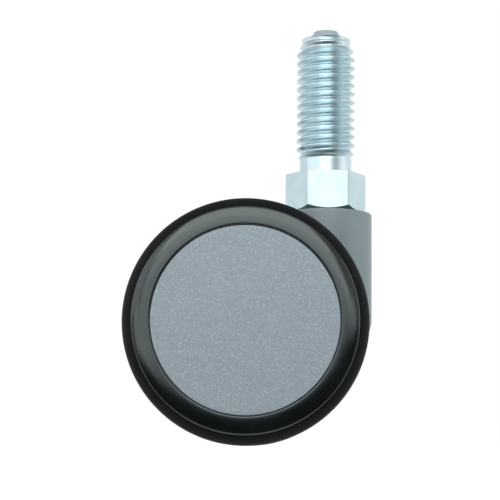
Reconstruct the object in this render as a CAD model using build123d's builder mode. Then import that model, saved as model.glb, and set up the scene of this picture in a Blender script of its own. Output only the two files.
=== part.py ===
"""Twin-wheel swivel castor on a threaded stem.

Millimetres, +Z up. The origin is on the stem's axis, in the seating plane on
top of its hexagon. The castor trails: its axle is behind the stem, towards -X,
and runs along Y, so +Y is its left side and -Y its right side.
"""

import os
from math import radians, tan

from build123d import *

# Stem: one headed, turned and rolled steel piece
thread_d = 10.0            # M10 rolled thread, modelled at its major diameter
stem_rise = 25.0           # seat to tip
tip_chamfer = 2.3
neck_d = 8.8               # unrolled blank between seat and thread
neck_h = 2.1
hex_af = 12.0
hex_h = 6.5
hex_turn = 2.9             # degrees about Z
hex_washer_face_d = 11.7   # circle left by the chamfer under the hexagon
hex_chamfer_angle = 30.0
pin_d = 8.0                # pin below the hexagon that turns in the housing
pin_end_z = -23.2
pin_chamfer = 0.8
groove_d = 7.0
groove_h = 0.9

# Swivel joint in the housing's boss
swivel_clearance = 0.05    # radial, pin to bush
washer_d = 11.4
washer_t = 1.0
ring_d = 9.4
ring_t = 0.8
ring_mouth = 4.2           # opening of the C-shaped ring
ring_z = -15.3             # its upper face
ring_play = 0.1            # to the bush above it
lower_bush_l = 6.5

# Housing: boss, web, hood and axle hub in one moulding
boss_d = 15.8
boss_gap = 0.25            # boss top below the hexagon
boss_bottom_z = -29.5
boss_top_round = 0.5
boss_bottom_round = 4.5
socket_d = 10.0
socket_floor_z = -24.5
web_t = 5.0
hood_inset = 1.2           # hood inside the wheels' outline
hood_t = 1.6
hood_gap = 0.8             # hood to tyre, along the axle
hood_start_angle = 48.0    # degrees round the axle from +X, inside the boss
hood_end_angle = 196.0
hub_d = 12.4
hub_half_w = 7.4

# Axle, its spacers and retainers
axle_x = -13.3
axle_z = -26.3
axle_d = 6.0
axle_end_gap = 0.4         # axle end to the inside of the cap
axle_chamfer = 0.5
spacer_d = 11.0
spacer_t = 0.8
spacer_clearance = 0.05
retainer_d = 10.0
retainer_t = 0.6
retainer_gap = 0.1
retainer_slots = 6
retainer_slot_w = 0.8
retainer_slot_reach = 1.1  # from the axle outwards
retainer_slot_overcut = 0.1

# Wheels. Distances w are along the axle from the castor's middle plane
wheel_r = 20.1
wheel_outer_w = 18.0
wheel_clearance = 0.05     # radial, axle to wheel bush

tyre_t = 1.65              # tread to the rim's outer edge
tyre_root_depth = 1.55     # the tyre's root keys into a groove in the rim
tyre_root_inset = 1.4      # groove to the rim's inner side
tyre_root_back = 4.8       # groove to the wheel's outer face
tyre_overhang = 0.5        # tyre past the rim's inner side
tyre_inner_round = 1.2
tyre_widest_back = 3.1     # where the shoulder meets the tread
tyre_shoulder_back = 0.75  # where the shoulder meets the rim
tyre_shoulder_bow = 0.22   # off the straight line from rim to tread

rim_gap = 0.8              # spacer to the rim's inner side
rim_wall = 3.05            # outer edge of the gloss ring to the cap's recess
rim_inner_wall = 3.45
lip_round = 0.35
ring_drop = 0.45           # the gloss ring falls back this far to its edge
ring_bow_rise = 0.11       # and bows this far off a straight line
edge_round = 0.3
core_web_t = 1.4
core_web_back = 4.0        # outer side of the core's web to the wheel's face
core_hub_r = 7.0
core_hub_back = 3.0
rib_count = 8
rib_t = 1.2
rib_inset = 0.8            # ribs stop this far inside the rim
rib_reach = 0.2            # and run this far into hub and rim

bush_wall = 1.2            # axle to the core's bore
bush_flange_wall = 2.6
bush_flange_t = 0.8

cap_fit = 0.1              # cap to recess, radial
cap_recess = 0.25          # cap face below the rim's lip
cap_t = 1.15
cap_skirt_t = 1.1
cap_skirt_gap = 0.05
cap_edge_round = 0.2

# Worked out
pin_r = pin_d / 2
hex_bottom_z = -hex_h
boss_top_z = hex_bottom_z - boss_gap
washer_floor_z = hex_bottom_z - washer_t
bush_bore_r = pin_r + swivel_clearance
axle_r = axle_d / 2
spacer_bore_r = axle_r + spacer_clearance
wheel_bush_bore_r = axle_r + wheel_clearance
bush_r = axle_r + bush_wall
bush_flange_r = axle_r + bush_flange_wall
wheel_inner_w = hub_half_w + spacer_t
core_hub_w = wheel_outer_w - core_hub_back
web_out_w = wheel_outer_w - core_web_back
web_in_w = web_out_w - core_web_t
rim_r = wheel_r - tyre_t
rim_bore_r = rim_r - rim_wall
rim_inner_bore_r = rim_r - rim_inner_wall
rim_inner_w = wheel_inner_w + rim_gap
rib_start_w = rim_inner_w + rib_inset
tyre_seat_r = rim_r - tyre_root_depth
tyre_root_in_w = rim_inner_w + tyre_root_inset
tyre_root_out_w = wheel_outer_w - tyre_root_back
tyre_inner_w = rim_inner_w - tyre_overhang
tyre_widest_w = wheel_outer_w - tyre_widest_back
tyre_shoulder_w = wheel_outer_w - tyre_shoulder_back
hood_r = wheel_r - hood_inset
hood_half_w = tyre_inner_w - hood_gap
cap_r = rim_bore_r - cap_fit
cap_face_w = wheel_outer_w - cap_recess
cap_inner_w = cap_face_w - cap_t
cap_skirt_w = web_out_w + cap_skirt_gap
axle_half_l = cap_inner_w - axle_end_gap
retainer_w = core_hub_w + retainer_gap
axle_axis = Axis((axle_x, 0, axle_z), (0, 1, 0))


def side_profile_plane(side):
    """Half-plane through the axle: x is radius, y runs outwards on that side."""
    return Plane(origin=(axle_x, 0, axle_z), x_dir=(1, 0, 0), z_dir=(0, 0, side))


def side_face_plane(side, w):
    """Plane across the axle at distance w from the middle, facing outwards."""
    return Plane(origin=(axle_x, side * w, axle_z), x_dir=(1, 0, 0), z_dir=(0, side, 0))


def save(name, label):
    """Label a finished piece and write it as a node of its own."""
    name.part.label = label
    export_step(name.part, f"parts/{label}.step")


os.makedirs("parts", exist_ok=True)

# Stem: thread, neck, hexagon and swivel pin in one piece of plated steel. The
# hexagon is chamfered underneath only, which leaves arcs on its six flats.
with BuildPart() as stem:
    with BuildSketch(Plane.XY.offset(hex_bottom_z)):
        RegularPolygon(radius=hex_af / 2, side_count=6, major_radius=False, rotation=hex_turn)
    extrude(amount=hex_h)
    with BuildSketch(Plane.XZ):
        with BuildLine():
            face_r = hex_washer_face_d / 2
            wide_r = hex_af
            chamfer_rise = (wide_r - face_r) * tan(radians(hex_chamfer_angle))
            Polyline(
                (0, hex_bottom_z),
                (face_r, hex_bottom_z),
                (wide_r, hex_bottom_z + chamfer_rise),
                (wide_r, 0),
                (0, 0),
                close=True,
            )
        make_face()
    revolve(axis=Axis.Z, mode=Mode.INTERSECT)
    with BuildSketch(Plane.XY):
        Circle(neck_d / 2)
    extrude(amount=neck_h)
    with BuildSketch(Plane.XY.offset(neck_h)):
        Circle(thread_d / 2)
    extrude(amount=stem_rise - neck_h)
    chamfer(stem.edges().group_by(Axis.Z)[-1], length=tip_chamfer)
    with BuildSketch(Plane.XY.offset(hex_bottom_z)):
        Circle(pin_r)
    extrude(amount=pin_end_z - hex_bottom_z)
    chamfer(stem.edges().group_by(Axis.Z)[0], length=pin_chamfer)
    with BuildSketch(Plane.XY.offset(ring_z + (groove_h - ring_t) / 2)):
        Circle(pin_r)
        Circle(groove_d / 2, mode=Mode.SUBTRACT)
    extrude(amount=-groove_h, mode=Mode.SUBTRACT)
save(stem, "stem")

# Retaining ring: sprung C-shaped ring in the pin's groove, under the upper bush
with BuildPart() as retaining_ring:
    with BuildSketch(Plane.XY.offset(ring_z)):
        Circle(ring_d / 2)
        Circle(groove_d / 2, mode=Mode.SUBTRACT)
        with Locations((-ring_d / 2, 0)):
            Rectangle(ring_d, ring_mouth, mode=Mode.SUBTRACT)
    extrude(amount=-ring_t)
save(retaining_ring, "retaining_ring")

# Thrust washer between the hexagon and the boss: it carries the load
with BuildPart() as thrust_washer:
    with BuildSketch(Plane.XY.offset(washer_floor_z)):
        Circle(washer_d / 2)
        Circle(bush_bore_r, mode=Mode.SUBTRACT)
    extrude(amount=washer_t)
save(thrust_washer, "thrust_washer")

# Two plain bushes in the boss, one on each side of the retaining ring
upper_bush_l = washer_floor_z - ring_z - ring_play
bushes = (
    ("swivel_bush_upper", washer_floor_z, upper_bush_l),
    ("swivel_bush_lower", socket_floor_z + lower_bush_l, lower_bush_l),
)
for label, top_z, length in bushes:
    with BuildPart() as bush:
        with BuildSketch(Plane.XY.offset(top_z)):
            Circle(socket_d / 2)
            Circle(bush_bore_r, mode=Mode.SUBTRACT)
        extrude(amount=-length)
    save(bush, label)

# Housing: an upright boss for the stem, an axle hub across it, and an arched
# hood between the wheels on a central web, moulded in one
with BuildPart() as housing:
    # Web: a sector under the hood, with a gusset from the boss to the hub
    with BuildSketch(Plane.XZ.offset(-web_t / 2)):
        with BuildLine():
            mid = (axle_x, axle_z)
            rim = CenterArc(mid, hood_r - hood_t / 2, hood_start_angle, hood_end_angle - hood_start_angle)
            Line(mid, rim @ 0)
            Line(rim @ 1, mid)
        make_face()
        with BuildLine():
            Polyline(
                mid,
                rim @ 0,
                (0, boss_bottom_z + boss_bottom_round),
                (axle_x, axle_z - hub_d / 2),
                close=True,
            )
        make_face()
    extrude(amount=web_t)
    # Hood: part of a ring, as wide as the room between the wheels
    with BuildSketch(Plane.XZ.offset(-hood_half_w)):
        with BuildLine():
            hood_sweep = hood_end_angle - hood_start_angle
            outer = CenterArc(mid, hood_r, hood_start_angle, hood_sweep)
            inner = CenterArc(mid, hood_r - hood_t, hood_start_angle, hood_sweep)
            Line(outer @ 0, inner @ 0)
            Line(outer @ 1, inner @ 1)
        make_face()
    extrude(amount=2 * hood_half_w)
    # Axle hub
    with BuildSketch(Plane.XZ.offset(-hub_half_w)):
        with Locations((axle_x, axle_z)):
            Circle(hub_d / 2)
    extrude(amount=2 * hub_half_w)
    # Boss, turned about the stem's axis
    with BuildSketch(Plane.XZ):
        with BuildLine():
            top_corner = boss_d / 2 - boss_top_round
            low_corner = boss_d / 2 - boss_bottom_round
            Line((0, boss_bottom_z), (low_corner, boss_bottom_z))
            TangentArc(
                (low_corner, boss_bottom_z),
                (boss_d / 2, boss_bottom_z + boss_bottom_round),
                tangent=(1, 0),
            )
            side_low = (boss_d / 2, boss_bottom_z + boss_bottom_round)
            side_high = (boss_d / 2, boss_top_z - boss_top_round)
            Line(side_low, side_high)
            TangentArc(side_high, (top_corner, boss_top_z), tangent=(0, 1))
            Line((top_corner, boss_top_z), (0, boss_top_z))
            Line((0, boss_top_z), (0, boss_bottom_z))
        make_face()
    revolve(axis=Axis.Z)
    # Socket for the bushes, counterbored for the thrust washer
    with BuildSketch(Plane.XY.offset(socket_floor_z)):
        Circle(socket_d / 2)
    extrude(amount=boss_top_z - socket_floor_z, mode=Mode.SUBTRACT)
    with BuildSketch(Plane.XY.offset(washer_floor_z)):
        Circle(washer_d / 2)
    extrude(amount=boss_top_z - washer_floor_z, mode=Mode.SUBTRACT)
    # Axle hole, a press fit
    with BuildSketch(Plane.XZ.offset(-hub_half_w)):
        with Locations((axle_x, axle_z)):
            Circle(axle_r)
    extrude(amount=2 * hub_half_w, mode=Mode.SUBTRACT)
save(housing, "housing")

# Axle: plain steel pin with chamfered ends
with BuildPart() as axle:
    with BuildSketch(Plane.XZ.offset(-axle_half_l)):
        with Locations((axle_x, axle_z)):
            Circle(axle_r)
    extrude(amount=2 * axle_half_l)
    chamfer(axle.edges().filter_by(GeomType.CIRCLE), length=axle_chamfer)
save(axle, "axle")

# The two wheels are mirror images: every piece is made once for each side
for side_name, side in (("left", 1), ("right", -1)):
    # Spacer washer between the housing's hub and the wheel's bush
    with BuildPart() as spacer:
        with BuildSketch(side_face_plane(side, hub_half_w)):
            Circle(spacer_d / 2)
            Circle(spacer_bore_r, mode=Mode.SUBTRACT)
        extrude(amount=spacer_t)
    save(spacer, f"spacer_{side_name}")

    # Wheel bush: plain sleeve with a flange against the spacer
    with BuildPart() as wheel_bush:
        with BuildSketch(side_profile_plane(side)):
            with BuildLine():
                Polyline(
                    (wheel_bush_bore_r, wheel_inner_w),
                    (bush_flange_r, wheel_inner_w),
                    (bush_flange_r, wheel_inner_w + bush_flange_t),
                    (bush_r, wheel_inner_w + bush_flange_t),
                    (bush_r, core_hub_w),
                    (wheel_bush_bore_r, core_hub_w),
                    close=True,
                )
            make_face()
        revolve(axis=axle_axis)
    save(wheel_bush, f"wheel_bush_{side_name}")

    # Wheel core: hub, web, ribs and rim in one moulding. The rim's outer face
    # is the gloss ring: a rounded inner lip, then a face that bows and falls
    # back to a small rounded edge. A groove round the rim keys the tyre.
    with BuildPart() as wheel_core:
        with BuildSketch(side_profile_plane(side)):
            with BuildLine():
                edge_w = wheel_outer_w - ring_drop
                lip_top = (rim_bore_r + lip_round, wheel_outer_w)
                ring_end = (rim_r - edge_round, edge_w)
                ring_bow = (
                    (lip_top[0] + ring_end[0]) / 2,
                    (wheel_outer_w + edge_w) / 2 + ring_bow_rise,
                )
                Line((bush_r, wheel_inner_w + bush_flange_t), (core_hub_r, wheel_inner_w + bush_flange_t))
                Line((core_hub_r, wheel_inner_w + bush_flange_t), (core_hub_r, web_in_w))
                Line((core_hub_r, web_in_w), (rim_inner_bore_r, web_in_w))
                Line((rim_inner_bore_r, web_in_w), (rim_inner_bore_r, rim_inner_w))
                Line((rim_inner_bore_r, rim_inner_w), (rim_r, rim_inner_w))
                Line((rim_r, rim_inner_w), (rim_r, tyre_root_in_w))
                Line((rim_r, tyre_root_in_w), (tyre_seat_r, tyre_root_in_w))
                Line((tyre_seat_r, tyre_root_in_w), (tyre_seat_r, tyre_root_out_w))
                Line((tyre_seat_r, tyre_root_out_w), (rim_r, tyre_root_out_w))
                Line((rim_r, tyre_root_out_w), (rim_r, edge_w - edge_round))
                TangentArc((rim_r, edge_w - edge_round), ring_end, tangent=(0, 1))
                ThreePointArc(ring_end, ring_bow, lip_top)
                TangentArc((rim_bore_r, wheel_outer_w - lip_round), lip_top, tangent=(0, 1))
                Line((rim_bore_r, wheel_outer_w - lip_round), (rim_bore_r, web_out_w))
                Line((rim_bore_r, web_out_w), (core_hub_r, web_out_w))
                Line((core_hub_r, web_out_w), (core_hub_r, core_hub_w))
                Line((core_hub_r, core_hub_w), (bush_r, core_hub_w))
                Line((bush_r, core_hub_w), (bush_r, wheel_inner_w + bush_flange_t))
            make_face()
        revolve(axis=axle_axis)
        rib_l = rim_inner_bore_r - core_hub_r + 2 * rib_reach
        with BuildSketch(side_face_plane(side, rib_start_w)):
            with PolarLocations((core_hub_r + rim_inner_bore_r) / 2, rib_count):
                Rectangle(rib_l, rib_t)
        extrude(amount=web_in_w - rib_start_w)
    save(wheel_core, f"wheel_core_{side_name}")

    # Tyre: moulded round the rim, its root in the rim's groove. Its outer
    # shoulder bows from the rim's edge to the tread, the inner one is rounded.
    with BuildPart() as tyre:
        with BuildSketch(side_profile_plane(side)):
            with BuildLine():
                shoulder = (rim_r, tyre_shoulder_w)
                tread_out = (wheel_r, tyre_widest_w)
                shoulder_bow = (
                    (rim_r + wheel_r) / 2 + tyre_shoulder_bow,
                    (tyre_shoulder_w + tyre_widest_w) / 2 + tyre_shoulder_bow,
                )
                tread_in = (wheel_r, tyre_inner_w + tyre_inner_round)
                ThreePointArc(shoulder, shoulder_bow, tread_out)
                Line(tread_out, tread_in)
                TangentArc(tread_in, (wheel_r - tyre_inner_round, tyre_inner_w), tangent=(0, -1))
                Line((wheel_r - tyre_inner_round, tyre_inner_w), (rim_r, tyre_inner_w))
                Line((rim_r, tyre_inner_w), (rim_r, tyre_root_in_w))
                Line((rim_r, tyre_root_in_w), (tyre_seat_r, tyre_root_in_w))
                Line((tyre_seat_r, tyre_root_in_w), (tyre_seat_r, tyre_root_out_w))
                Line((tyre_seat_r, tyre_root_out_w), (rim_r, tyre_root_out_w))
                Line((rim_r, tyre_root_out_w), shoulder)
            make_face()
        revolve(axis=axle_axis)
    save(tyre, f"tyre_{side_name}")

    # Cap: a flat disc with a skirt that snaps into the rim
    with BuildPart() as cap:
        with BuildSketch(side_profile_plane(side)):
            with BuildLine():
                Line((0, cap_inner_w), (cap_r - cap_skirt_t, cap_inner_w))
                Line((cap_r - cap_skirt_t, cap_inner_w), (cap_r - cap_skirt_t, cap_skirt_w))
                Line((cap_r - cap_skirt_t, cap_skirt_w), (cap_r, cap_skirt_w))
                Line((cap_r, cap_skirt_w), (cap_r, cap_face_w - cap_edge_round))
                rim_side = (cap_r, cap_face_w - cap_edge_round)
                face_side = (cap_r - cap_edge_round, cap_face_w)
                TangentArc(rim_side, face_side, tangent=(0, 1))
                Line(face_side, (0, cap_face_w))
                Line((0, cap_face_w), (0, cap_inner_w))
            make_face()
        revolve(axis=axle_axis)
    save(cap, f"wheel_cap_{side_name}")

    # Push-on retainer that bites on the axle's end and keeps the wheel on
    with BuildPart() as retainer:
        with BuildSketch(side_face_plane(side, retainer_w)):
            Circle(retainer_d / 2)
            Circle(axle_r, mode=Mode.SUBTRACT)
            slot_l = retainer_slot_reach + retainer_slot_overcut
            with PolarLocations(axle_r + retainer_slot_reach - slot_l / 2, retainer_slots):
                Rectangle(slot_l, retainer_slot_w, mode=Mode.SUBTRACT)
        extrude(amount=retainer_t)
    save(retainer, f"axle_retainer_{side_name}")
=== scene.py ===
import bmesh
import bpy
import numpy as np
from mathutils import Matrix, Vector


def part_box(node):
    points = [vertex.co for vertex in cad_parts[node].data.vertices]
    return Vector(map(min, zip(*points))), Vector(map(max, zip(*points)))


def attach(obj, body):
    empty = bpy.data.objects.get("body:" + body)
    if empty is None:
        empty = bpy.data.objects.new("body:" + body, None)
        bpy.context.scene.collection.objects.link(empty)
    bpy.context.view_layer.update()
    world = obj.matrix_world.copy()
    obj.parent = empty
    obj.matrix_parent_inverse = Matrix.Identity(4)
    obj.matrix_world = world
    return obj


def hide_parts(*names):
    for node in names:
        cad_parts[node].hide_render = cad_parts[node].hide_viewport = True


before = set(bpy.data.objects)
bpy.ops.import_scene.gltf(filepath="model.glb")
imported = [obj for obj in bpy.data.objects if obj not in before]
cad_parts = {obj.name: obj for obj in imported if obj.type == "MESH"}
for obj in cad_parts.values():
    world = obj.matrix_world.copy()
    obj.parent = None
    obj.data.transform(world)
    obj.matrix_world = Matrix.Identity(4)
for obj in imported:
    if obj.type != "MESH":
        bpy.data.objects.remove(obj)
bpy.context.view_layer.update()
mm = 0.001

# Stem, upper part: a cold-headed and rolled M10 stud of zinc-plated steel. The
# thread is rolled up from a thinner blank, which stays bare as a short neck
# above the hexagon. Rolling leaves a thin lip and a stub at the tip.
stem_low, stem_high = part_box("stem")
thread_pitch = 1.5 * mm
thread_r = 5.0 * mm
thread_depth = 0.8 * mm
crest_flat = 0.1
root_shape = 1.7
neck_r = 4.42 * mm
neck_h = 2.1 * mm
neck_fillet = 0.25 * mm
neck_sunk = 0.3 * mm
run_in = 2.2 * mm
run_out = 2.2 * mm
blank_tip_r = 4.08 * mm
lip_r = 4.2 * mm
lip_foot_h = 1.85 * mm
lip_edge_h = 1.4 * mm
stub_foot_r = 2.8 * mm
stub_tip_r = 2.1 * mm
stub_h = 1.1 * mm
stem_columns = 144
flank_rows = 10


def show(name, mesh, sharp):
    """Puts a mesh in the scene, smooth but for edges that turn by more than that
    many degrees, with shading that follows its large flat faces."""
    mesh.shade_smooth()
    mesh.set_sharp_from_angle(angle=np.radians(sharp))
    obj = bpy.data.objects.new(name, mesh)
    bpy.context.scene.collection.objects.link(obj)
    obj.modifiers.new("flats stay flat", "WEIGHTED_NORMAL").keep_sharp = True
    return obj


def shell(name, grids):
    """One closed mesh from grids of points, each rows x columns x 3. Point (i, j)
    joins (i+1, j), (i+1, j+1) and (i, j+1). Points that meet become one: the last
    column lies on the first, a row that shrinks to a point closes a pole, and a last
    row equal to the first closes a ring."""
    points, faces, start = [], [], 0
    for grid in grids:
        rows, columns = grid.shape[:2]
        i, j = np.meshgrid(np.arange(rows - 1), np.arange(columns - 1), indexing="ij")
        corner = i * columns + j
        quads = np.stack([corner, corner + 1, corner + columns + 1, corner + columns], -1)
        faces.append(quads.reshape(-1, 4) + start)
        points.append(grid.reshape(-1, 3))
        start += rows * columns
    mesh = bpy.data.meshes.new(name)
    mesh.from_pydata(np.concatenate(points), [], np.concatenate(faces).tolist())
    work = bmesh.new()
    work.from_mesh(mesh)
    bmesh.ops.remove_doubles(work, verts=work.verts, dist=2e-7)
    bmesh.ops.dissolve_degenerate(work, edges=work.edges, dist=1e-8)
    bmesh.ops.recalc_face_normals(work, faces=work.faces)
    work.to_mesh(mesh)
    work.free()
    return show(name, mesh, sharp=32)


def turned(radius, height, angle):
    """Points at radius r, height z and angle a round Z: (r cos a, r sin a, z)."""
    radius, height, angle = np.broadcast_arrays(radius, height, angle)
    return np.stack([radius * np.cos(angle), radius * np.sin(angle), height], -1)


# The thread's height is neck + pitch x (ridge - 1 + a / 2 pi), so a ridge climbs
# one pitch in a turn. Its radius is thread_r - depth x (1 - (1 - u)^root_shape),
# where u goes from 0 at the edge of the crest to 1 at the root. Rows crowd
# towards the crest, which bends most.
thread_top = stem_high[2] - lip_foot_h
around = np.linspace(0, 2 * np.pi, stem_columns + 1)[None, :]
turns = int(np.ceil((stem_high[2] - neck_h) / thread_pitch)) + 2
half_crest = crest_flat / 2
down_flank = half_crest + (0.5 - half_crest) * np.linspace(0, 1, flank_rows) ** 1.3
phase = np.concatenate([[0.0], down_flank, 1 - down_flank[-2::-1]])
ridge = (np.arange(turns)[:, None] + phase[None, :]).reshape(-1, 1)
off_crest = np.minimum(ridge % 1.0, 1.0 - ridge % 1.0)
flank = np.clip((off_crest - half_crest) / (0.5 - half_crest), 0, 1)
thread_z = neck_h + thread_pitch * (ridge - 1.0 + around / (2 * np.pi))
thread_z = np.clip(thread_z, neck_h, thread_top)
rolled_r = thread_r - thread_depth * (1 - (1 - flank) ** root_shape)
run_in_share = np.clip((thread_z - neck_h) / run_in, 0, 1)
rolled_r = neck_r + (rolled_r - neck_r) * run_in_share
run_out_share = np.clip((thread_top - thread_z) / run_out, 0, 1)
rolled_r = blank_tip_r + (rolled_r - blank_tip_r) * run_out_share
threaded = turned(rolled_r, thread_z, around)

# The neck stands on the hexagon in a fillet, and its foot is sunk in the hexagon
fillet_turn = np.linspace(0, np.pi / 2, 6)[:, None]
fillet_r = neck_r + neck_fillet * (1 - np.sin(fillet_turn))
fillet_z = neck_fillet * (1 - np.cos(fillet_turn))
foot_r = np.vstack([[[0.0]], fillet_r, [[neck_r]]])
foot_z = np.vstack([[[-neck_sunk]], fillet_z, [[neck_h]]])
foot = turned(foot_r, foot_z, around)
tip_r = np.array([[lip_r], [stub_foot_r], [stub_tip_r], [0.0]])
tip_z = stem_high[2] - np.array([[lip_edge_h], [stub_h], [0.0], [0.0]])
tip = turned(tip_r, tip_z, around)

# Stem, lower part: the 12 mm spanner hexagon, chamfered underneath only, so
# that each flat ends in an arc, and the turned pin that swivels in the housing.
# It is one forging with the thread, so both are in one mesh.
hex_flat = 6.0 * mm
hex_turn = np.radians(2.9)
hex_h = 6.5 * mm
hex_edge = 0.12 * mm
washer_face_r = 5.85 * mm
chamfer_slope = np.tan(np.radians(30))
corner_sharpness = 90
flat_columns = 28
pin_r = 4.0 * mm
pin_chamfer = 0.8 * mm
groove_r = 3.5 * mm
groove_top = -15.25 * mm
groove_low = -16.15 * mm

# The hexagon's radius is flat / (sum of (cos b)^n)^(1/n) over its six faces,
# where b is the angle to each face and a large n leaves the corners just blunt.
# Columns crowd towards the corners as a sine does.
facing = np.radians(60) * np.arange(6)[:, None]
sweep = np.linspace(-np.pi / 2, np.pi / 2, flat_columns, endpoint=False)
face_sweep = np.radians(30) * np.sin(sweep)
hex_angle = (facing + face_sweep[None, :]).reshape(1, -1)
hex_angle = np.append(hex_angle, hex_angle[:, :1] + 2 * np.pi, 1)
toward = np.clip(np.cos(hex_angle - facing), 0, 1) ** corner_sharpness
hex_r = hex_flat * np.sum(toward, 0, keepdims=True) ** (-1 / corner_sharpness)
hex_angle = hex_angle + hex_turn + np.radians(30)

# From the top down: a rounded edge, the flats, the chamfer that cuts them in
# arcs, the washer face, and the pin with its groove
edge_turn = np.linspace(0, np.pi / 2, 6)[:, None]
top_r = hex_r - hex_edge * (1 - np.sin(edge_turn))
top_z = -hex_edge * (1 - np.cos(edge_turn))
arc_z = -hex_h + (hex_r - washer_face_r) * chamfer_slope
down_flat = np.array([[0.02], [0.3], [0.7], [0.98]])
side_z = -hex_edge + (arc_z + hex_edge) * down_flat
inward = np.array([[0.0], [0.03], [0.3], [0.6], [0.97], [1.0]])
under_r = hex_r + (washer_face_r - hex_r) * inward
under_z = arc_z + (-hex_h - arc_z) * inward
pin_end = stem_low[2]
pin_outline = np.array(
    [
        (pin_r, -hex_h),
        (pin_r, groove_top),
        (groove_r, groove_top),
        (groove_r, groove_low),
        (pin_r, groove_low),
        (pin_r, pin_end + pin_chamfer),
        (pin_r - pin_chamfer, pin_end),
        (0.0, pin_end),
    ]
)
hexagon_and_pin = np.concatenate(
    [
        turned(0.0, 0.0, hex_angle),
        turned(hex_r - 2 * hex_edge, 0.0, hex_angle),
        turned(top_r, top_z, hex_angle),
        turned(hex_r, side_z, hex_angle),
        turned(under_r, under_z, hex_angle),
        turned(pin_outline[:, :1], pin_outline[:, 1:], hex_angle),
    ]
)
stem = shell("stem_thread_and_hexagon", [np.concatenate([foot, threaded, tip]), hexagon_and_pin])


def linear(code):
    """Linear red, green, blue and alpha of an sRGB hex colour: c / 12.92 below
    0.04045, and ((c + 0.055) / 1.055) to the power 2.4 above."""
    channels = np.array([int(code[i : i + 2], 16) / 255 for i in (1, 3, 5)])
    low = channels / 12.92
    high = ((channels + 0.055) / 1.055) ** 2.4
    return (*np.where(channels <= 0.04045, low, high).tolist(), 1.0)


def add_node(tree, kind, settings=None, links=None):
    """Adds a node. settings holds its properties, its sockets' values and, as
    stops, a colour ramp's pairs of place and hex colour. links joins its sockets
    to other nodes' outputs. A socket is named, or numbered where names repeat."""
    node = tree.nodes.new(kind)
    settings = dict(settings or {})
    stops = settings.pop("stops", [])
    for place, _ in stops[2:]:
        node.color_ramp.elements.new(place)
    for number, (place, code) in enumerate(stops):
        node.color_ramp.elements[number].position = place
        node.color_ramp.elements[number].color = linear(code)
    for key, value in settings.items():
        if isinstance(key, str) and hasattr(node, key):
            setattr(node, key, value)
        else:
            node.inputs[key].default_value = value
    for socket, output in (links or {}).items():
        tree.links.new(output, node.inputs[socket])
    return node


def new_material(name):
    """An empty material, and its tree."""
    material = bpy.data.materials.new(name)
    material.use_nodes = True
    material.node_tree.nodes.clear()
    return material, material.node_tree


# Bright zinc plate with a blue passivate: a clean cool mirror, softened by the
# grain of the rolled blank, with slow changes of tint where the bath drained.
# The grain is drawn coarser than the real one, so that it shows. Here and below,
# place joins a pattern to the piece's own coordinates, in metres.
zinc, tree = new_material("blue_passivated_zinc_plate")
place = {"Vector": add_node(tree, "ShaderNodeTexCoord").outputs["Object"]}
drained = add_node(tree, "ShaderNodeTexNoise", {"Scale": 1 / (4 * mm), "Detail": 3.0}, place)
grain = add_node(tree, "ShaderNodeTexNoise", {"Scale": 1 / (0.35 * mm), "Detail": 4.0}, place)
tint = add_node(
    tree,
    "ShaderNodeValToRGB",
    {"stops": [(0.3, "#BED5DC"), (0.7, "#CDE0E5")]},
    {"Fac": drained.outputs["Fac"]},
)
dulled = add_node(
    tree,
    "ShaderNodeMapRange",
    {"From Min": 0.3, "From Max": 0.7, "To Min": 0.27, "To Max": 0.35},
    {"Value": grain.outputs["Fac"]},
)
bump = add_node(
    tree, "ShaderNodeBump", {"Strength": 0.06, "Distance": 0.02 * mm}, {"Height": grain.outputs["Fac"]}
)
shader = add_node(
    tree,
    "ShaderNodeBsdfPrincipled",
    {"Metallic": 1.0},
    {
        "Base Color": tint.outputs["Color"],
        "Roughness": dulled.outputs["Result"],
        "Normal": bump.outputs["Normal"],
    },
)
add_node(tree, "ShaderNodeOutputMaterial", links={"Surface": shader.outputs["BSDF"]})
stem.data.materials.append(zinc)
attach(stem, "stem")
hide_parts("stem")

# Retaining ring and axle retainers: stamped from oiled spring strip and sprung
# on to their pins. Hardening leaves them dark and slightly blue, with streaks
# from rolling.
spring, tree = new_material("hardened_spring_strip")
place = {"Vector": add_node(tree, "ShaderNodeTexCoord").outputs["Object"]}
rolled = add_node(tree, "ShaderNodeMapping", {"Scale": (6.0, 1.0, 1.0)}, place)
strip = add_node(
    tree,
    "ShaderNodeTexNoise",
    {"Scale": 1 / (0.8 * mm), "Detail": 3.0},
    {"Vector": rolled.outputs["Vector"]},
)
tint = add_node(
    tree,
    "ShaderNodeValToRGB",
    {"stops": [(0.3, "#3C4147"), (0.7, "#5D6268")]},
    {"Fac": strip.outputs["Fac"]},
)
shader = add_node(
    tree,
    "ShaderNodeBsdfPrincipled",
    {"Metallic": 1.0, "Roughness": 0.38},
    {"Base Color": tint.outputs["Color"]},
)
add_node(tree, "ShaderNodeOutputMaterial", links={"Surface": shader.outputs["BSDF"]})


def dress(material, *nodes):
    """Gives a material to nodes whose own shape is the finished one."""
    for node in nodes:
        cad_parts[node].data.materials.clear()
        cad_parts[node].data.materials.append(material)


dress(spring, "retaining_ring", "axle_retainer_left", "axle_retainer_right")

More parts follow.
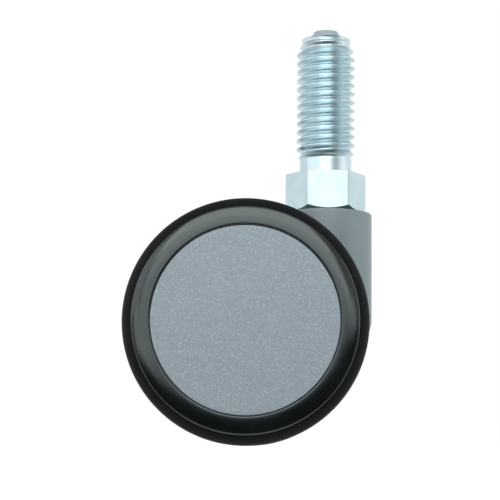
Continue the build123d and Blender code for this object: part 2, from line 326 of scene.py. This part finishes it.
# Bushes and thrust washer: turned from natural acetal and pressed into their
# seats. It is a waxy off-white, slightly clouded from the bar that it is cut from.
acetal, tree = new_material("natural_acetal")
place = {"Vector": add_node(tree, "ShaderNodeTexCoord").outputs["Object"]}
cloud = add_node(tree, "ShaderNodeTexNoise", {"Scale": 1 / (1.5 * mm), "Detail": 2.0}, place)
tint = add_node(
    tree,
    "ShaderNodeValToRGB",
    {"stops": [(0.3, "#DAD7CC"), (0.7, "#E8E5DA")]},
    {"Fac": cloud.outputs["Fac"]},
)
shader = add_node(
    tree,
    "ShaderNodeBsdfPrincipled",
    {"Roughness": 0.42, "IOR": 1.48},
    {"Base Color": tint.outputs["Color"]},
)
add_node(tree, "ShaderNodeOutputMaterial", links={"Surface": shader.outputs["BSDF"]})
dress(acetal, "thrust_washer", "swivel_bush_upper", "swivel_bush_lower")
dress(acetal, "wheel_bush_left", "wheel_bush_right")

# Axle and spacer washers: the axle is drawn bright steel bar, pressed into the
# housing's hub, and the washers slip over it. Both are left bare and lightly
# oiled, with fine lines along the axle from the drawing die.
drawn, tree = new_material("drawn_bright_steel")
place = {"Vector": add_node(tree, "ShaderNodeTexCoord").outputs["Object"]}
along = add_node(tree, "ShaderNodeMapping", {"Scale": (1.0, 0.08, 1.0)}, place)
lines = add_node(
    tree,
    "ShaderNodeTexNoise",
    {"Scale": 1 / (0.2 * mm), "Detail": 4.0},
    {"Vector": along.outputs["Vector"]},
)
tint = add_node(
    tree,
    "ShaderNodeValToRGB",
    {"stops": [(0.3, "#9DA0A2"), (0.7, "#C2C4C5")]},
    {"Fac": lines.outputs["Fac"]},
)
shader = add_node(
    tree,
    "ShaderNodeBsdfPrincipled",
    {"Metallic": 1.0, "Roughness": 0.3},
    {"Base Color": tint.outputs["Color"]},
)
add_node(tree, "ShaderNodeOutputMaterial", links={"Surface": shader.outputs["BSDF"]})
dress(drawn, "axle", "spacer_left", "spacer_right")

# Housing: the boss round the stem's pin, the hood between the wheels and the
# axle hub, moulded in one from glass-filled grey polyamide. The mould leaves a
# satin skin, drawn coarser than the real one, with faint clouds where it flowed.
polyamide, tree = new_material("grey_glass_filled_polyamide")
place = {"Vector": add_node(tree, "ShaderNodeTexCoord").outputs["Object"]}
flow = add_node(tree, "ShaderNodeTexNoise", {"Scale": 1 / (6 * mm), "Detail": 4.0}, place)
skin = add_node(tree, "ShaderNodeTexNoise", {"Scale": 1 / (0.3 * mm), "Detail": 3.0}, place)
tint = add_node(
    tree,
    "ShaderNodeValToRGB",
    {"stops": [(0.3, "#849599"), (0.7, "#8C9DA1")]},
    {"Fac": flow.outputs["Fac"]},
)
bump = add_node(
    tree, "ShaderNodeBump", {"Strength": 0.25, "Distance": 0.03 * mm}, {"Height": skin.outputs["Fac"]}
)
shader = add_node(
    tree,
    "ShaderNodeBsdfPrincipled",
    {"Roughness": 0.34, "IOR": 1.53},
    {"Base Color": tint.outputs["Color"], "Normal": bump.outputs["Normal"]},
)
add_node(tree, "ShaderNodeOutputMaterial", links={"Surface": shader.outputs["BSDF"]})

housing_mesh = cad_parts["housing"].data.copy()
work = bmesh.new()
work.from_mesh(housing_mesh)
bmesh.ops.remove_doubles(work, verts=work.verts, dist=1e-6)
work.to_mesh(housing_mesh)
work.free()
housing = show("swivel_housing", housing_mesh, sharp=28)
housing.data.materials.clear()
housing.data.materials.append(polyamide)
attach(housing, "swivel")
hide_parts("housing")

# Wheel cores: hub, web, eight ribs and rim in one moulding of black polyamide.
# The rim's outer face is polished in the mould: it bows, and falls back from a
# small rounded lip round the cap to a small rounded edge at the tyre.
axle_low, axle_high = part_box("axle")
axle_x = (axle_low[0] + axle_high[0]) / 2
axle_z = (axle_low[2] + axle_high[2]) / 2
outer_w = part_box("wheel_core_left")[1][1]
hub_r = 7.0 * mm
hub_w = 15.0 * mm
hub_in_w = 9.0 * mm
bush_r = 4.2 * mm
web_in = 12.6 * mm
web_out = 14.0 * mm
rim_in_w = 9.0 * mm
rim_bore_in = 15.0 * mm
cap_seat_r = 15.36 * mm
lip_round = 0.34 * mm
rim_r = 18.45 * mm
ring_drop = 0.45 * mm
edge_round = 0.3 * mm
edge_rise = 0.1 * mm
bow_shift = 0.3 * mm
bow_rise = 0.02 * mm
root_r = 16.9 * mm
root_in = 10.4 * mm
root_out = 13.2 * mm
rib_t = 1.2 * mm
rib_in = 9.8 * mm
rib_sunk = 0.2 * mm
rib_count = 8
corner_round = 0.15 * mm
web_round = 0.4 * mm
wheel_columns = 256


def bent(start, pull, end, steps):
    """A smooth bend from start to end, pulled towards a third point:
    (1-t)^2 start + 2t(1-t) pull + t^2 end, for t from 0 to 1."""
    t = np.linspace(0, 1, steps)[:, None]
    return (1 - t) ** 2 * np.array(start) + 2 * t * (1 - t) * np.array(pull) + t**2 * np.array(end)


def wheel_turn(outline, side):
    """The outline's points (r, w) turned round the axle: (x + r cos a, side * w,
    z + r sin a), where w is the distance from the castor's middle plane."""
    outline = np.concatenate([np.atleast_2d(part) for part in outline])
    angle = np.linspace(0, 2 * np.pi, wheel_columns + 1)[None, :]
    x = axle_x + outline[:, :1] * np.cos(angle)
    y = np.broadcast_to(side * outline[:, 1:], x.shape)
    z = axle_z + outline[:, :1] * np.sin(angle)
    return np.stack([x, y, z], -1)


def rib(angle, side):
    """A flat box from hub to rim, as four long edges that close at each end. A
    point at reach r and c across is (x + r cos a - c sin a, side * w, z + r sin a
    + c cos a)."""
    near, far = hub_r - rib_sunk, rim_bore_in + rib_sunk
    low, high = rib_in, web_in + rib_sunk
    reach = np.array([[near], [near], [far], [far]])
    opened = np.array([[0.0], [1.0], [1.0], [0.0]])
    across = opened * rib_t * np.array([[-0.5, 0.5, 0.5, -0.5, -0.5]])
    w = (low + high) / 2 + opened * (high - low) * np.array([[-0.5, -0.5, 0.5, 0.5, -0.5]])
    x = axle_x + reach * np.cos(angle) - across * np.sin(angle)
    z = axle_z + reach * np.sin(angle) + across * np.cos(angle)
    return np.stack([x, side * w, z], -1)


edge_w = outer_w - ring_drop
core_outline = [
    bent((bush_r, hub_in_w + corner_round), (bush_r, hub_in_w), (bush_r + corner_round, hub_in_w), steps=4),
    bent((hub_r - corner_round, hub_in_w), (hub_r, hub_in_w), (hub_r, hub_in_w + corner_round), steps=4),
    bent((hub_r, web_in - web_round), (hub_r, web_in), (hub_r + web_round, web_in), steps=6),
    bent(
        (rim_bore_in - web_round, web_in),
        (rim_bore_in, web_in),
        (rim_bore_in, web_in - web_round),
        steps=6,
    ),
    bent(
        (rim_bore_in, rim_in_w + corner_round),
        (rim_bore_in, rim_in_w),
        (rim_bore_in + corner_round, rim_in_w),
        steps=4,
    ),
    bent((rim_r - corner_round, rim_in_w), (rim_r, rim_in_w), (rim_r, rim_in_w + corner_round), steps=4),
    [(rim_r, root_in), (root_r, root_in), (root_r, root_out), (rim_r, root_out)],
    bent((rim_r, edge_w - edge_round), (rim_r, edge_w), (rim_r - edge_round, edge_w + edge_rise), steps=8),
    bent(
        (rim_r - 1.2 * edge_round, edge_w + 1.2 * edge_rise),
        ((rim_r + cap_seat_r) / 2 + bow_shift, outer_w + bow_rise),
        (cap_seat_r + lip_round, outer_w),
        steps=20,
    ),
    bent(
        (cap_seat_r + 0.9 * lip_round, outer_w),
        (cap_seat_r, outer_w),
        (cap_seat_r, outer_w - lip_round),
        steps=8,
    ),
    [(cap_seat_r, web_out), (hub_r, web_out)],
    bent((hub_r, hub_w - corner_round), (hub_r, hub_w), (hub_r - corner_round, hub_w), steps=4),
    bent((bush_r + corner_round, hub_w), (bush_r, hub_w), (bush_r, hub_w - corner_round), steps=4),
    [(bush_r, hub_in_w + corner_round)],
]

# Black polyamide from a polished mould: a dark gloss with a faint green-blue
# cast, and a slow ripple where the rim has shrunk over the tyre's groove.
black, tree = new_material("gloss_black_polyamide")
place = {"Vector": add_node(tree, "ShaderNodeTexCoord").outputs["Object"]}
flow = add_node(tree, "ShaderNodeTexNoise", {"Scale": 1 / (5 * mm), "Detail": 3.0}, place)
ripple = add_node(tree, "ShaderNodeTexNoise", {"Scale": 1 / (3 * mm), "Detail": 2.0}, place)
tint = add_node(
    tree,
    "ShaderNodeValToRGB",
    {"stops": [(0.3, "#0E1011"), (0.7, "#131617")]},
    {"Fac": flow.outputs["Fac"]},
)
polish = add_node(
    tree,
    "ShaderNodeMapRange",
    {"From Min": 0.3, "From Max": 0.7, "To Min": 0.13, "To Max": 0.17},
    {"Value": flow.outputs["Fac"]},
)
bump = add_node(
    tree, "ShaderNodeBump", {"Strength": 0.05, "Distance": 0.02 * mm}, {"Height": ripple.outputs["Fac"]}
)
shader = add_node(
    tree,
    "ShaderNodeBsdfPrincipled",
    {"IOR": 1.53, "Specular IOR Level": 0.8, "Specular Tint": (0.86, 1.0, 1.0, 1.0)},
    {
        "Base Color": tint.outputs["Color"],
        "Roughness": polish.outputs["Result"],
        "Normal": bump.outputs["Normal"],
    },
)
add_node(tree, "ShaderNodeOutputMaterial", links={"Surface": shader.outputs["BSDF"]})

for side_name, side in (("left", 1), ("right", -1)):
    ribs = [rib(angle, side) for angle in 2 * np.pi / rib_count * np.arange(rib_count)]
    core = shell(f"rim_and_ribbed_core_{side_name}", [wheel_turn(core_outline, side), *ribs])
    core.data.materials.append(black)
    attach(core, f"wheel_{side_name}")
    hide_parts(f"wheel_core_{side_name}")

# Tyres: soft black thermoplastic rubber moulded round the rims and keyed into
# their grooves, with a fine witness line round the tread. The mould is blasted,
# so the skin is matt. Its grain is drawn coarser than the real one.
tread_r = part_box("tyre_left")[1][2] - axle_z
tyre_in = 8.5 * mm
inner_round = 1.2 * mm
witness_w = 12.2 * mm
witness_half = 0.12 * mm
witness_depth = 0.05 * mm
widest_w = 14.9 * mm
crown_lead = 0.8 * mm
crown_pull = 0.7 * mm
crown_rise = 0.02 * mm
crown_end = (19.55 * mm, 16.35 * mm)
shoulder_start = (19.45 * mm, 16.5 * mm)
shoulder_pull = (19.05 * mm, 17.05 * mm)
shoulder_w = 17.25 * mm
shoulder_edge = 0.1 * mm

tyre_outline = [
    [(root_r, root_in), (rim_r, root_in)],
    bent((rim_r, tyre_in + corner_round), (rim_r, tyre_in), (rim_r + corner_round, tyre_in), steps=4),
    bent((tread_r - inner_round, tyre_in), (tread_r, tyre_in), (tread_r, tyre_in + inner_round), steps=12),
    [
        (tread_r, witness_w - witness_half),
        (tread_r - witness_depth, witness_w),
        (tread_r, witness_w + witness_half),
    ],
    bent(
        (tread_r, widest_w - crown_lead),
        (tread_r + crown_rise, widest_w + crown_pull),
        crown_end,
        steps=12,
    ),
    bent(shoulder_start, shoulder_pull, (rim_r + shoulder_edge, shoulder_w), steps=8),
    [(rim_r, shoulder_w - shoulder_edge), (rim_r, root_out), (root_r, root_out), (root_r, root_in)],
]

rubber, tree = new_material("matt_thermoplastic_rubber")
place = {"Vector": add_node(tree, "ShaderNodeTexCoord").outputs["Object"]}
bloom = add_node(tree, "ShaderNodeTexNoise", {"Scale": 1 / (5 * mm), "Detail": 4.0}, place)
blast = add_node(tree, "ShaderNodeTexNoise", {"Scale": 1 / (0.25 * mm), "Detail": 3.0}, place)
tint = add_node(
    tree,
    "ShaderNodeValToRGB",
    {"stops": [(0.3, "#0D0F10"), (0.7, "#121415")]},
    {"Fac": bloom.outputs["Fac"]},
)
bump = add_node(
    tree, "ShaderNodeBump", {"Strength": 0.35, "Distance": 0.04 * mm}, {"Height": blast.outputs["Fac"]}
)
shader = add_node(
    tree,
    "ShaderNodeBsdfPrincipled",
    {"Roughness": 0.62, "IOR": 1.5, "Specular IOR Level": 0.13},
    {"Base Color": tint.outputs["Color"], "Normal": bump.outputs["Normal"]},
)
add_node(tree, "ShaderNodeOutputMaterial", links={"Surface": shader.outputs["BSDF"]})

for side_name, side in (("left", 1), ("right", -1)):
    tyre = shell(f"tyre_moulding_{side_name}", [wheel_turn(tyre_outline, side)])
    tyre.data.materials.append(rubber)
    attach(tyre, f"wheel_{side_name}")
    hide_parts(f"tyre_{side_name}")

# Wheel caps: flat discs with a skirt that snaps into the rim, moulded from
# silver-grey plastic with metal flake in it. Each flake has its own tilt, and
# its colour carries a painted glint: lighter or duller at random, as if it caught
# the light or not. Flakes are drawn larger than real ones, so that the grain shows.
cap_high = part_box("wheel_cap_left")[1]
cap_r = cap_high[0] - axle_x
cap_w = cap_high[1]
cap_t = 1.15 * mm
cap_flat_end = 0.4 * mm
cap_round = 0.12 * mm
skirt_t = 1.1 * mm
skirt_w = 14.05 * mm
skirt_round = 0.3 * mm
flake = 0.24 * mm

skirt_in_r = cap_r - skirt_t
cap_in_w = cap_w - cap_t
cap_outline = [
    [(0.0, cap_w), (cap_r - cap_flat_end, cap_w)],
    bent((cap_r - cap_round, cap_w), (cap_r, cap_w), (cap_r, cap_w - cap_round), steps=6),
    [(cap_r, skirt_w), (skirt_in_r, skirt_w)],
    bent(
        (skirt_in_r, cap_in_w - skirt_round),
        (skirt_in_r, cap_in_w),
        (skirt_in_r - skirt_round, cap_in_w),
        steps=6,
    ),
    [(0.0, cap_in_w)],
]

silver, tree = new_material("metal_flake_grey_plastic")
place = {"Vector": add_node(tree, "ShaderNodeTexCoord").outputs["Object"]}
flakes = add_node(tree, "ShaderNodeTexVoronoi", {"Scale": 1 / flake}, place)
each = add_node(tree, "ShaderNodeSeparateColor", links={"Color": flakes.outputs["Color"]})
cloud = add_node(tree, "ShaderNodeTexNoise", {"Scale": 1 / (9 * mm), "Detail": 3.0}, place)
plastic = add_node(
    tree,
    "ShaderNodeValToRGB",
    {"stops": [(0.3, "#93A1A9"), (0.7, "#98A6AE")]},
    {"Fac": cloud.outputs["Fac"]},
)
# Painted glint: each flake's colour is made lighter or duller at random, standing in for the light that it
# catches
painted_flake_glint = add_node(
    tree,
    "ShaderNodeValToRGB",
    {"stops": [(0.0, "#8B9AA2"), (0.55, "#95A4AC"), (0.9, "#A1AFB6"), (1.0, "#B9C6CC")]},
    {"Fac": each.outputs["Red"]},
)
# Sockets 6 and 7 and output 2 are the Mix node's colours
flaked = add_node(
    tree,
    "ShaderNodeMix",
    {"data_type": "RGBA", "Factor": 0.6},
    {6: plastic.outputs["Color"], 7: painted_flake_glint.outputs["Color"]},
)
tilt = add_node(
    tree, "ShaderNodeBump", {"Strength": 0.15, "Distance": 0.03 * mm}, {"Height": each.outputs["Green"]}
)
shader = add_node(
    tree,
    "ShaderNodeBsdfPrincipled",
    {"Metallic": 0.25, "Roughness": 0.46, "IOR": 1.5},
    {"Base Color": flaked.outputs[2], "Normal": tilt.outputs["Normal"]},
)
add_node(tree, "ShaderNodeOutputMaterial", links={"Surface": shader.outputs["BSDF"]})

for side_name, side in (("left", 1), ("right", -1)):
    cap = shell(f"snap_cap_{side_name}", [wheel_turn(cap_outline, side)])
    cap.data.materials.append(silver)
    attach(cap, f"wheel_{side_name}")
    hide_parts(f"wheel_cap_{side_name}")

# Floor: matt white under the wheels, lifted to the white of the background where
# it is looked at, with the castor's shadow kept. From below it is clear, so that
# the underside can be looked at.
wheel_bottom = axle_z - tread_r
floor_half = 3.0
white_lift = 0.7

floor_white, tree = new_material("white_floor")
seen = add_node(tree, "ShaderNodeLightPath")
lift = add_node(
    tree,
    "ShaderNodeMath",
    {"operation": "MULTIPLY", 1: white_lift},
    {0: seen.outputs["Is Camera Ray"]},
)
paint = add_node(
    tree,
    "ShaderNodeBsdfPrincipled",
    {"Base Color": linear("#E6E6E6"), "Roughness": 0.9, "Emission Color": (1.0, 1.0, 1.0, 1.0)},
    {"Emission Strength": lift.outputs[0]},
)
clear = add_node(tree, "ShaderNodeBsdfTransparent")
face_seen = add_node(tree, "ShaderNodeNewGeometry")
one_way = add_node(
    tree,
    "ShaderNodeMixShader",
    links={0: face_seen.outputs["Backfacing"], 1: paint.outputs["BSDF"], 2: clear.outputs["BSDF"]},
)
add_node(tree, "ShaderNodeOutputMaterial", links={"Surface": one_way.outputs["Shader"]})

floor_mesh = bpy.data.meshes.new("floor")
floor_corners = floor_half * np.array([(-1, -1), (1, -1), (1, 1), (-1, 1)])
floor_mesh.from_pydata([(x, y, wheel_bottom) for x, y in floor_corners], [], [(0, 1, 2, 3)])
floor = bpy.data.objects.new("floor", floor_mesh)
bpy.context.scene.collection.objects.link(floor)
floor.data.materials.append(floor_white)
floor.visible_glossy = False

# Room: white where it is looked at. Bright parts see a white backdrop behind the
# castor, which fades towards the front, above and below, a dim ceiling and a
# pale table. All else gets a low even light.
even_light = 0.3
world = bpy.data.worlds.new("studio")
world.use_nodes = True
tree = world.node_tree
tree.nodes.clear()
seen = add_node(tree, "ShaderNodeLightPath")
heading = add_node(tree, "ShaderNodeTexCoord")
parts = add_node(tree, "ShaderNodeSeparateXYZ", links={"Vector": heading.outputs["Generated"]})
height = add_node(tree, "ShaderNodeMath", {"operation": "ABSOLUTE"}, {0: parts.outputs["Z"]})
behind = add_node(
    tree,
    "ShaderNodeMapRange",
    {"interpolation_type": "SMOOTHSTEP", "From Min": -0.1, "From Max": 0.3, "To Min": 0.55, "To Max": 1.0},
    {"Value": parts.outputs["Y"]},
)
level_band = add_node(
    tree,
    "ShaderNodeMapRange",
    {"interpolation_type": "SMOOTHSTEP", "From Min": 0.35, "From Max": 0.8, "To Min": 1.0, "To Max": 0.45},
    {"Value": height.outputs[0]},
)
ceiling = add_node(
    tree,
    "ShaderNodeMapRange",
    {"interpolation_type": "SMOOTHSTEP", "From Min": 0.4, "From Max": 0.9, "To Min": 0.3, "To Max": 0.65},
    {"Value": parts.outputs["Z"]},
)
table = add_node(
    tree,
    "ShaderNodeMapRange",
    {"interpolation_type": "SMOOTHSTEP", "From Min": -0.4, "From Max": -0.9, "To Min": 0.3, "To Max": 0.9},
    {"Value": parts.outputs["Z"]},
)
backdrop = add_node(
    tree,
    "ShaderNodeMath",
    {"operation": "MULTIPLY"},
    {0: behind.outputs["Result"], 1: level_band.outputs["Result"]},
)
above_and_below = add_node(
    tree,
    "ShaderNodeMath",
    {"operation": "MAXIMUM"},
    {0: ceiling.outputs["Result"], 1: table.outputs["Result"]},
)
mirrored = add_node(
    tree,
    "ShaderNodeMath",
    {"operation": "MAXIMUM"},
    {0: backdrop.outputs[0], 1: above_and_below.outputs[0]},
)
in_gloss = add_node(
    tree,
    "ShaderNodeMath",
    {"operation": "MULTIPLY"},
    {0: seen.outputs["Is Glossy Ray"], 1: mirrored.outputs[0]},
)
straight = add_node(
    tree,
    "ShaderNodeMath",
    {"operation": "MAXIMUM"},
    {0: seen.outputs["Is Camera Ray"], 1: seen.outputs["Is Transmission Ray"]},
)
shown = add_node(
    tree,
    "ShaderNodeMath",
    {"operation": "MAXIMUM"},
    {0: straight.outputs[0], 1: in_gloss.outputs[0]},
)
filled = add_node(
    tree, "ShaderNodeMath", {"operation": "MAXIMUM", 1: even_light}, {0: shown.outputs[0]}
)
sky = add_node(
    tree, "ShaderNodeBackground", {"Color": (1.0, 1.0, 1.0, 1.0)}, {"Strength": filled.outputs[0]}
)
add_node(tree, "ShaderNodeOutputWorld", links={"Surface": sky.outputs["Background"]})
bpy.context.scene.world = world

# Lamps: soft panels, three in front, one above the other, and one at each side.
# The front left one shows in gloss alone. The back one lights matt surfaces
# alone, so that no gleam comes from behind.
look_at = Vector((axle_x + 5 * mm, 0, -25 * mm))


def soft_panel(name, where, size, radiance, roll=0.0):
    """A rectangular lamp at a place, in metres, that faces the castor and is rolled
    about that line. Its face has that radiance: its power is radiance x pi x area."""
    lamp = bpy.data.lights.new(name, "AREA")
    lamp.shape = "RECTANGLE"
    lamp.size, lamp.size_y = size
    lamp.energy = radiance * np.pi * size[0] * size[1]
    obj = bpy.data.objects.new(name, lamp)
    toward_castor = (look_at - Vector(where)).normalized().to_track_quat("-Z", "Y")
    rolled = Matrix.Rotation(np.radians(roll), 4, "Z")
    obj.matrix_world = Matrix.Translation(where) @ toward_castor.to_matrix().to_4x4() @ rolled
    obj.visible_camera = False
    bpy.context.scene.collection.objects.link(obj)
    return obj


soft_panel("front_low_panel", (-0.05, -1.08, 0.02), (1.6, 0.24), 1.08, roll=4.0)
soft_panel("front_panel", (-0.03, -1.04, 0.25), (0.8, 0.22), 1.7)
soft_panel("front_high_panel", (-0.03, -0.92, 0.64), (1.0, 0.62), 2.25)
soft_panel("left_panel", (-1.2, -0.3, 0.35), (0.8, 0.8), 0.8)
soft_panel("right_panel", (1.2, -0.2, 0.35), (0.8, 0.8), 0.8)
gloss_panel = soft_panel("front_left_panel", (-0.8, -0.86, 0.42), (0.75, 0.7), 0.9)
gloss_panel.visible_diffuse = False
back_panel = soft_panel("back_panel", (0.0, 1.1, 0.6), (1.2, 0.8), 1.2)
back_panel.visible_glossy = False

# Black card: stands before the foot of the low panel and is seen by gloss alone,
# so the polished rim is dark along its lower half. Its upper edge falls away to
# the left. Places along it are (x, z), in metres.
card_y = -1.02
card_half = 1.2
card_low = -1.0
card_edge = [
    (card_half, 0.0),
    (0.37, 0.015),
    (0.09, 0.034),
    (-0.107, -0.009),
    (-0.33, -0.13),
    (-0.7, -0.25),
    (-card_half, -0.3),
]
card_outline = [(-card_half, card_low), (card_half, card_low), *card_edge]
card_mesh = bpy.data.meshes.new("black_card")
card_mesh.from_pydata([(x, card_y, z) for x, z in card_outline], [], [range(len(card_outline))])
card = bpy.data.objects.new("black_card", card_mesh)
bpy.context.scene.collection.objects.link(card)
card_black, tree = new_material("black_card")
shader = add_node(
    tree, "ShaderNodeBsdfPrincipled", {"Base Color": linear("#151515"), "Roughness": 0.9}
)
add_node(tree, "ShaderNodeOutputMaterial", links={"Surface": shader.outputs["BSDF"]})
card.data.materials.append(card_black)
card.visible_camera = False
card.visible_diffuse = False
card.visible_shadow = False

# Camera: a long lens about 290 mm from the castor and just above the floor. It
# looks up at it, turned a little to the left and rolled by half a degree.
camera_at = Vector((-8.26 * mm, -288.8 * mm, wheel_bottom + 0.2 * mm))
yaw = np.radians(-0.921)
pitch = np.radians(6.548)
roll = np.radians(0.463)
ahead = Vector((np.sin(yaw) * np.cos(pitch), np.cos(yaw) * np.cos(pitch), np.sin(pitch)))
right = ahead.cross(Vector((0, 0, 1))).normalized()
up = right.cross(ahead)
right, up = right * np.cos(roll) + up * np.sin(roll), up * np.cos(roll) - right * np.sin(roll)
lens = bpy.data.cameras.new("camera")
lens.sensor_width = 36.0
lens.lens = 122.2
lens.clip_start = 0.005
camera = bpy.data.objects.new("camera", lens)
camera.matrix_world = Matrix.Translation(camera_at) @ Matrix((right, up, -ahead)).transposed().to_4x4()
bpy.context.scene.collection.objects.link(camera)
bpy.context.scene.camera = camera
bpy.context.scene.view_settings.view_transform = "Standard"
